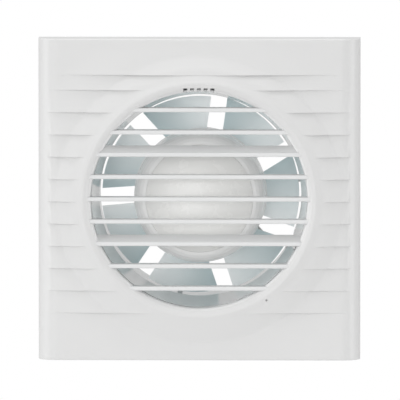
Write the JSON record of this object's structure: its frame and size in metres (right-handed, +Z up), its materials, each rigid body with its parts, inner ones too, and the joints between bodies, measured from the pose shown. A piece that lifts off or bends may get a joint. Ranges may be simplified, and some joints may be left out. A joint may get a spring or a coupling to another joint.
{
  "type": "extractor fan",
  "caption": "Square wall-mounted bathroom extractor fan: louvred front cover with a round opening, axial impeller, shaded-pole motor and a round duct spigot behind.",
  "frame": {"origin": "on the fan's axis, in the plane of the wall (the casing's back face), at the centre of the four wall-screw holes", "axes": "+Y out of the room into the duct along the fan's axis, +Z up, +X to the right as seen from the room; the cover faces -Y"},
  "size_m": [0.15, 0.084, 0.15],
  "materials": {
    "cover_white": "glossy injection-moulded ABS",
    "casing_white": "glossy injection-moulded ABS",
    "screw_steel": "bright zinc plate",
    "terminal_nylon": "natural nylon",
    "terminal_brass": "plain brass",
    "rubber_grey": "soft moulded rubber",
    "lead_sleeve": "white silicone sleeving",
    "lamination": "stacked electrical steel, varnished",
    "bobbin_nylon": "natural nylon",
    "copper_wire": "enamelled copper wire",
    "copper_ring": "bare copper",
    "fuse_black": "sleeved fuse",
    "zinc_steel": "zinc-plated pressed steel",
    "sinter_bronze": "oil-filled sintered bronze",
    "felt": "oiled felt",
    "impeller_grey": "smooth pale grey moulding",
    "hub_white": "glossy moulding",
    "shaft_steel": "ground steel",
    "cast_aluminium": "die-cast end ring",
    "washer_nylon": "natural nylon"
  },
  "bodies": {
    "housing": {"casing": "casing_white", "duct": "casing_white", "terminal_cover": "casing_white", "terminal_cover_screw": "screw_steel", "terminal_block": "terminal_nylon", "terminal_clamps": "terminal_brass", "terminal_screws": "screw_steel", "terminal_block_screw": "screw_steel", "cable_clamp": "casing_white", "cable_clamp_screws": "screw_steel", "cable_grommet": "rubber_grey", "motor_lead_live": "lead_sleeve", "motor_lead_neutral": "lead_sleeve", "stator_core": "lamination", "coil_bobbins": "bobbin_nylon", "coil_windings": "copper_wire", "shading_rings": "copper_ring", "thermal_fuse": "fuse_black", "front_end_bell": "zinc_steel", "rear_end_bell": "zinc_steel", "front_bush": "sinter_bronze", "rear_bush": "sinter_bronze", "front_oil_felt": "felt", "rear_oil_felt": "felt", "front_bush_retainer": "zinc_steel", "rear_bush_retainer": "zinc_steel", "motor_tie_screws": "screw_steel", "motor_tie_nuts": "screw_steel", "motor_mounting_screws": "screw_steel"},
    "rotor": {"impeller": "impeller_grey", "hub_cap": "hub_white", "impeller_lock_ring": "zinc_steel", "shaft": "shaft_steel", "rotor_core": "lamination", "rotor_end_rings": "cast_aluminium", "thrust_washers": "washer_nylon"},
    "cover": {"front_cover": "cover_white"}
  },
  "joints": [
    {"name": "impeller_spin", "type": "hinge", "parent": "housing", "child": "rotor", "pos_m": [0, 0, 0], "axis": [0, 1, 0], "continuous": true},
    {"name": "front_cover_pull", "type": "slide", "parent": "housing", "child": "cover", "axis": [0, -1, 0], "range_m": [0, 0.03]}
  ]
}
